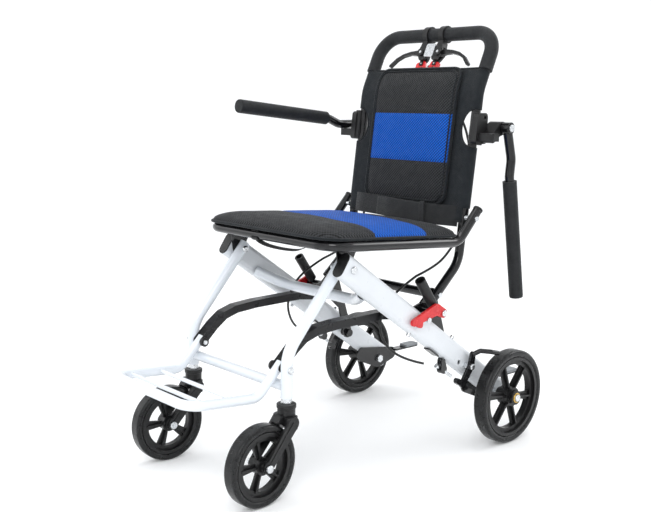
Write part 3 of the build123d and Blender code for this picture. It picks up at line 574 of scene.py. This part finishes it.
CLOTH_THICKNESS = 0.0012
SLEEVE_R = TUBE_R + CLOTH_THICKNESS
WRAP = math.pi * SLEEVE_R
LAP = 0.034
BACK_SPAN = (0.499, 0.779)
FRONT_DROP = 0.029
NOTCH_Z = (0.622, 0.698)
NOTCH_DEPTH = 0.029


def sleeve_point(s, z):
    """Back cloth: flat across the front, round each tube and a little way in behind."""
    side = 1 if s >= 0 else -1
    a = abs(s)
    wave = 0.0006 * noise.noise(Vector((s * 20, z * 20, 1.7)))
    if a <= BACK_X:
        u = a / BACK_X
        bow = 0.004 * (1 - u ** 4)
        return back_point(s, z, SLEEVE_R - bow + wave)
    if a <= BACK_X + WRAP:
        t = (a - BACK_X) / SLEEVE_R
        return back_point(side * (BACK_X + SLEEVE_R * math.sin(t)), z, SLEEVE_R * math.cos(t))
    return back_point(side * (BACK_X - (a - BACK_X - WRAP)), z, -SLEEVE_R + wave)


def sleeve_outline():
    end = BACK_X + WRAP + LAP
    z0, z1 = BACK_SPAN
    n0, n1 = NOTCH_Z
    mid = (n0 + n1) / 2
    half = (n1 - n0) / 2
    front = BACK_X + 0.004
    edge = [(front, z0 - FRONT_DROP), (front, z0), (end, z0), (end, n0), (front, n0)]
    for k in range(1, 16):
        a = -math.pi / 2 + math.pi * k / 16
        edge.append((front - NOTCH_DEPTH * math.cos(a), mid + half * math.sin(a)))
    edge += [(front, n1), (end, n1), (end, z1 - 0.002)]
    return edge + [(-s, z) for s, z in reversed(edge)]


def resample(points, step):
    out = []
    for (x0, y0), (x1, y1) in zip(points, points[1:] + points[:1]):
        m = max(1, round(math.hypot(x1 - x0, y1 - y0) / step))
        out += [(x0 + (x1 - x0) * k / m, y0 + (y1 - y0) * k / m) for k in range(m)]
    return out


def inside(p, poly):
    hit = False
    for (x0, y0), (x1, y1) in zip(poly, poly[1:] + poly[:1]):
        if (y0 > p[1]) != (y1 > p[1]) and p[0] < (x1 - x0) * (p[1] - y0) / (y1 - y0) + x0:
            hit = not hit
    return hit


def flat_patch(name, outline, place, step, mats, thickness):
    """A cloth piece cut to an outline and laid by place(s, t)."""
    rim = resample(outline, step)
    lo = (min(p[0] for p in rim), min(p[1] for p in rim))
    hi = (max(p[0] for p in rim), max(p[1] for p in rim))
    pts = [Vector(p) for p in rim]
    nx = round((hi[0] - lo[0]) / step)
    ny = round((hi[1] - lo[1]) / step)
    for i in range(1, nx):
        for j in range(1, ny):
            p = (lo[0] + (hi[0] - lo[0]) * i / nx, lo[1] + (hi[1] - lo[1]) * j / ny)
            if not inside(p, rim):
                continue
            if min((p[0] - q[0]) ** 2 + (p[1] - q[1]) ** 2 for q in rim) > (0.5 * step) ** 2:
                pts.append(Vector(p))
    edges = [(i, (i + 1) % len(rim)) for i in range(len(rim))]
    verts, _, faces, *_ = geometry.delaunay_2d_cdt(pts, edges, [], 1, 1e-7)
    ob = new_object(name, [place(v.x, v.y) for v in verts], [tuple(f) for f in faces], mats)
    fix_normals(ob)
    sol = ob.modifiers.new("t", "SOLIDIFY")
    sol.thickness = thickness
    sol.offset = 0.0
    apply_modifiers(ob)
    return ob


def back_cloth():
    outline = sleeve_outline()
    mats = [MATERIALS["grey_fabric"]]
    ob = flat_patch("back_sleeve", outline, sleeve_point, 0.0055, mats, CLOTH_THICKNESS)
    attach(ob, "back")
    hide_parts("backrest_fabric")
    width = 2 * (BACK_X + WRAP + LAP)
    height = BACK_SPAN[1] - BACK_SPAN[0] + FRONT_DROP
    area = width * (height - FRONT_DROP) - 2 * (NOTCH_Z[1] - NOTCH_Z[0]) * (WRAP + LAP + 0.02)
    area += 2 * (BACK_X + 0.004) * FRONT_DROP
    # bound edges of the half-round cut-outs and the top hem
    mid = (NOTCH_Z[0] + NOTCH_Z[1]) / 2
    half = (NOTCH_Z[1] - NOTCH_Z[0]) / 2
    binding = cloth("binding_cloth", tint(BLACK_CLOTH, 0.7), 0.0013)
    for side, label in ((1, "left"), (-1, "right")):
        line = []
        for k in range(15):
            a = -math.pi / 2 + math.pi * k / 14
            x = side * (BACK_X + 0.004 - NOTCH_DEPTH * math.cos(a))
            line.append(sleeve_point(x, mid + half * math.sin(a)))
        bead = tube_mesh("notch_binding_" + label, line, 0.0019, binding, "back")
    for label, z in (("top", BACK_SPAN[1] - 0.001), ("bottom", BACK_SPAN[0] - FRONT_DROP + 0.001)):
        line = [sleeve_point(s * 0.0134, z) for s in range(-12, 13)]
        bead = tube_mesh("back_hem_" + label, line, 0.0019, binding, "back")
    return ob


PAD_HALF = (0.1125, 0.137)
PAD_MID_Z = 0.6385
PAD_SEAMS = (0.5875, 0.6865)
PAD_BASE = 0.0125


def pad_height(x, z, edge):
    t = min(1.0, edge / 0.026)
    height = 0.0088 * math.sqrt(max(0.0, 1 - (1 - t) ** 2))
    height += 0.002 * (1 - (x / PAD_HALF[0]) ** 2) * t
    for seam in PAD_SEAMS:
        height -= 0.0021 * math.exp(-(((z - seam) / 0.0032) ** 2)) * t
    if PAD_SEAMS[0] < z < PAD_SEAMS[1]:
        height += 0.0008 * t
    return height + 0.0008 * noise.noise(Vector((x * 22, z * 22, 4.1))) * t


def back_pad():
    """Padded centre panel with a welt all round and a coloured mesh band."""
    hx, hz = PAD_HALF
    outline = rounded_outline(hx, hz, (0.024, 0.02, 0.02, 0.024), 0.003)
    n = len(outline)
    rings = 38
    verts = []
    faces = []
    for k in range(rings):
        f = 1 - k / rings
        for px, py in outline:
            x = px * f
            z = PAD_MID_Z + py * f
            edge = (1 - f) * hx
            verts.append(back_point(x, z, PAD_BASE + pad_height(x, z, edge)))
    verts.append(back_point(0, PAD_MID_Z, PAD_BASE + pad_height(0, PAD_MID_Z, hx)))
    centre = len(verts) - 1
    back0 = len(verts)
    for px, py in outline:
        verts.append(back_point(px, PAD_MID_Z + py, PAD_BASE - 0.001))
    verts.append(back_point(0, PAD_MID_Z, PAD_BASE - 0.001))
    for k in range(rings - 1):
        for i in range(n):
            j = (i + 1) % n
            faces.append((k * n + i, k * n + j, (k + 1) * n + j, (k + 1) * n + i))
    for i in range(n):
        j = (i + 1) % n
        faces.append(((rings - 1) * n + i, (rings - 1) * n + j, centre))
        faces.append((i, back0 + i, back0 + j, j))
        faces.append((back0 + j, back0 + i, back0 + n))

    def band(g, sep):
        z = sep.outputs["Z"]
        low = g.span(z, 0.0, 1.0, PAD_SEAMS[0] + 0.002, PAD_SEAMS[0] + 0.0024)
        high = g.span(z, 0.0, 1.0, PAD_SEAMS[1] + 0.002, PAD_SEAMS[1] + 0.0024)
        return g.math("SUBTRACT", low, high)

    knit = spacer("back_mesh", MESH_DARK, MESH_LIGHT, second=(BLUE, BLUE_LIGHT), mask=band)
    ob = new_object("back_pad", verts, faces, [knit])
    fix_normals(ob)
    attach(ob, "back")
    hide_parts("backrest_pad")
    welt = cloth("pad_welt_cloth", tint(BLACK_CLOTH, 0.85), 0.0012)
    rim = [back_point(px * 1.012, PAD_MID_Z + py * 1.01, PAD_BASE + 0.0018)
           for px, py in outline[::3]]
    bead = tube_mesh("pad_welt", rim, 0.0032, welt, "back", closed=True)
    inner = [back_point(px * 0.955, PAD_MID_Z + py * 0.963, PAD_BASE + 0.0062)
             for px, py in outline[::3]]
    trim = tube_mesh("pad_inner_welt", inner, 0.0016, welt, "back", closed=True)
    return ob


# ---------------------------------------------------------------- lap belt and straps
BELT_Z = 0.484
BELT_WIDTH = 0.042
BELT_THICKNESS = 0.0018


def ribbon(name, line, width_dir, width, thickness, mat, body, steps=5):
    """Webbing along a smooth line; width_dir(t) gives the direction across it."""
    cu = bpy.data.curves.new(name, "CURVE")
    cu.dimensions = "3D"
    cu.resolution_u = steps
    sp = cu.splines.new("NURBS")
    sp.points.add(len(line) - 1)
    for p, q in zip(sp.points, line):
        p.co = (*q, 1.0)
    sp.order_u = 3
    sp.use_endpoint_u = True
    tmp = bpy.data.objects.new(name, cu)
    bpy.context.scene.collection.objects.link(tmp)
    deps = bpy.context.evaluated_depsgraph_get()
    me = bpy.data.meshes.new_from_object(tmp.evaluated_get(deps))
    path = [v.co.copy() for v in me.vertices]
    bpy.data.objects.remove(tmp)
    cols = 8
    verts = []
    faces = []
    for i, p in enumerate(path):
        t = i / (len(path) - 1)
        w = Vector(width_dir(t)).normalized()
        for c in range(cols + 1):
            verts.append(p + w * width * (c / cols - 0.5))
    for i in range(len(path) - 1):
        for c in range(cols):
            a = i * (cols + 1) + c
            faces.append((a, a + 1, a + cols + 2, a + cols + 1))
    ob = new_object(name, verts, faces, [mat])
    sol = ob.modifiers.new("t", "SOLIDIFY")
    sol.thickness = thickness
    sol.offset = 0.0
    bev = ob.modifiers.new("b", "BEVEL")
    bev.width = thickness * 0.35
    bev.segments = 2
    bev.limit_method = "ANGLE"
    apply_modifiers(ob)
    if body:
        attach(ob, body)
    return ob


def lap_belt():
    """Wide belt, fastened across the foot of the back, with its spare length lying over it."""
    mat = cloth("belt_webbing", (0.018, 0.019, 0.0205), 0.0017, sheen=0.15, depth=0.0004)
    lean = (0, math.sin(LOW_LEAN), math.cos(LOW_LEAN))

    def strip(name, line, width):
        points = [back_point(x, BELT_Z + z, off) for x, z, off in line]
        return ribbon(name, points, lambda t: lean, width, BELT_THICKNESS, mat, "back")

    # each point: across, above the belt's middle, off the tubes' centres
    right = [(-0.149, 0.004, 0.006), (-0.13, 0.004, 0.018), (-0.09, 0.003, 0.023),
             (-0.04, 0.001, 0.024), (0.02, -0.002, 0.024), (0.062, -0.004, 0.023)]
    left = [(0.149, -0.003, 0.006), (0.132, -0.003, 0.018), (0.105, -0.004, 0.0235),
            (0.07, -0.004, 0.0265), (0.045, -0.004, 0.0275)]
    spare = [(-0.062, 0.001, 0.0265), (-0.045, 0.001, 0.03), (-0.012, 0.001, 0.037),
             (0.025, -0.001, 0.036), (0.048, -0.003, 0.031), (0.078, -0.004, 0.029)]
    main = strip("belt_right", right, BELT_WIDTH)
    ends = [strip("belt_left", left, BELT_WIDTH), strip("belt_spare", spare, BELT_WIDTH - 0.003)]
    loop = [(0.070, 0.020, 0.030), (0.0705, 0.018, 0.033), (0.072, -0.003, 0.0335),
            (0.074, -0.022, 0.033), (0.0745, -0.026, 0.030)]
    points = [back_point(x, BELT_Z + z, off) for x, z, off in loop]
    ends.append(ribbon("belt_keeper", points, lambda t: (1, 0, 0), 0.013, 0.0022, mat, "back"))
    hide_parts("lap_belt")


def front_strap():
    """Clip around the front seat tube, with the strap that holds the chair folded."""
    mat = cloth("strap_webbing", (0.014, 0.014, 0.015), 0.0014)
    y0, z0 = SEAT_FRONT
    clip = []
    for k in range(21):
        a = math.radians(200 + 300 * k / 20)
        clip.append((-0.026, y0 + 0.0112 * math.cos(a), z0 + 0.0112 * math.sin(a)))
    band = ribbon("strap_clip", clip, lambda t: (1, 0, 0), 0.02, 0.0016, mat, "seat")
    hang = [(-0.03, 0.004, -0.0115), (-0.01, -0.001, -0.016), (0.03, -0.002, -0.019),
            (0.07, 0.001, -0.019), (0.092, 0.004, -0.0165), (0.1, 0.006, -0.0125)]
    loop = [(x, y0 + y, z0 + z) for x, y, z in hang]
    cord = ribbon("strap_loop", loop, lambda t: (0, 0.97, 0.2), 0.012, 0.0014, mat, "seat")


# ---------------------------------------------------------------- brake casings and hubs
CABLE_RADIUS = 0.0025
CABLE_UPPER = [(-0.139, 0.232, 0.433), (-0.138, 0.204, 0.402), (-0.139, 0.160, 0.380),
               (-0.137, 0.112, 0.368)]
CABLE_LOWER = [(-0.137, 0.112, 0.368), (-0.138, 0.066, 0.350), (-0.1365, 0.024, 0.322),
               (-0.137, 0.006, 0.280), (-0.142, 0.022, 0.238), (-0.156, 0.062, 0.208),
               (-0.1705, 0.104, 0.1955)]


def folding_casings():
    """The stretch of each brake casing that bends as the chair folds."""
    mat = MATERIALS["cable"]
    for side, label in ((1, "left"), (-1, "right")):
        upper = [(-side * x, y, z) for x, y, z in CABLE_UPPER]
        lower = [(-side * x, y, z) for x, y, z in CABLE_LOWER]
        top = tube_mesh("casing_upper_" + label, upper, CABLE_RADIUS, mat, None, sides=16)
        foot = tube_mesh("casing_lower_" + label, lower, CABLE_RADIUS, mat, None, sides=16)
        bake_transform(top)
        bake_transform(foot)
        if side == 1:
            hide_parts("cables_low")


def hub_rings():
    """Yellow passivated washer under the axle bolt of each rear wheel."""
    brass = steel("yellow_zinc", (0.78, 0.52, 0.16), 0.26)
    for side, label in ((1, "left"), (-1, "right")):
        ring = []
        for k in range(24):
            a = 2 * math.pi * k / 24
            y = REAR_AXLE[0] + WASHER_R * math.cos(a)
            z = REAR_AXLE[1] + WASHER_R * math.sin(a)
            ring.append((side * HUB_FACE_X, y, z))
        wheel = "rear_wheel_" + label
        bead = tube_mesh("hub_washer_" + label, ring, 0.0014, brass, wheel, closed=True)


# ---------------------------------------------------------------- stage and camera
def camera():
    target = Vector((0.0, -0.1, 0.4))
    az = math.radians(48.94)
    el = math.radians(9.54)
    dist = 1.839
    back = Vector((math.sin(az) * math.cos(el), -math.cos(az) * math.cos(el), math.sin(el)))
    cam = bpy.data.cameras.new("camera")
    cam.lens = 51.74
    cam.sensor_width = 36.0
    cam.shift_x = 0.0523
    cam.shift_y = 0.0089
    ob = bpy.data.objects.new("camera", cam)
    bpy.context.scene.collection.objects.link(ob)
    ob.location = target + back * dist
    turn = back.to_track_quat("Z", "Y").to_matrix().to_4x4()
    roll = Matrix.Rotation(math.radians(ROLL), 4, "Z")
    ob.matrix_world = Matrix.Translation(ob.location) @ turn @ roll
    bpy.context.scene.camera = ob


ROLL = 0.66


def area_light(name, loc, target, size, power, colour=(1, 1, 1)):
    li = bpy.data.lights.new(name, "AREA")
    li.shape = "RECTANGLE"
    li.size = size[0]
    li.size_y = size[1]
    li.energy = power
    li.color = colour
    ob = bpy.data.objects.new(name, li)
    bpy.context.scene.collection.objects.link(ob)
    ob.location = loc
    ob.rotation_euler = (Vector(loc) - Vector(target)).to_track_quat("Z", "Y").to_euler()


def stage():
    world = bpy.data.worlds.new("studio")
    bpy.context.scene.world = world
    world.use_nodes = True
    bg = world.node_tree.nodes["Background"]
    bg.inputs["Color"].default_value = (0.98, 0.99, 1.0, 1.0)
    bg.inputs["Strength"].default_value = 1.0
    g = Graph("floor_pale")
    g.colour(g.mix(g.span(g.noise(0.8), 0.0, 1.0), (0.90, 0.905, 0.91), (0.93, 0.935, 0.94)))
    g.set(Roughness=0.8, Specular_IOR_Level=0.1, Emission_Strength=0.1)
    # a round floor whose edge sweeps up into a wall, so that no horizon shows from any side
    profile = [(0.0, 0.0), (1.5, 0.0), (3.0, 0.0), (4.0, 0.0)]
    for t in range(6, 91, 6):
        a = math.radians(t)
        profile.append((4.0 + 3.0 * math.sin(a), 3.0 - 3.0 * math.cos(a)))
    profile += [(7.0, 4.5), (7.0, 7.0)]
    turns = 72
    verts = []
    faces = []
    for r, z in profile[1:]:
        for k in range(turns):
            t = 2 * math.pi * k / turns
            verts.append((r * math.cos(t), r * math.sin(t), z - 0.0005))
    verts.append((0, 0, -0.0005))
    for i in range(len(profile) - 2):
        for k in range(turns):
            j = (k + 1) % turns
            faces.append((i * turns + k, i * turns + j, (i + 1) * turns + j, (i + 1) * turns + k))
    for k in range(turns):
        faces.append(((k + 1) % turns, k, len(verts) - 1))
    floor = new_object("floor", verts, faces, [g.mat])
    area_light("key", (1.8, -2.2, 2.4), (0, 0, 0.4), (1.4, 1.4), 32.0)
    area_light("fill", (-2.4, -1.8, 1.6), (0, 0, 0.4), (1.8, 1.8), 9.0)
    area_light("rim", (1.2, 2.6, 2.0), (0, 0, 0.5), (1.4, 1.0), 18.0)
    area_light("top", (-0.3, 0.2, 3.2), (0, 0, 0.4), (1.8, 1.8), 22.0)
    bpy.context.scene.view_settings.view_transform = "Standard"
    bpy.context.scene.view_settings.exposure = 0.0


paint_frame()
seat_cushion()
seat_sling()
back_cloth()
back_pad()
lap_belt()
front_strap()
folding_casings()
hub_rings()
camera()
stage()
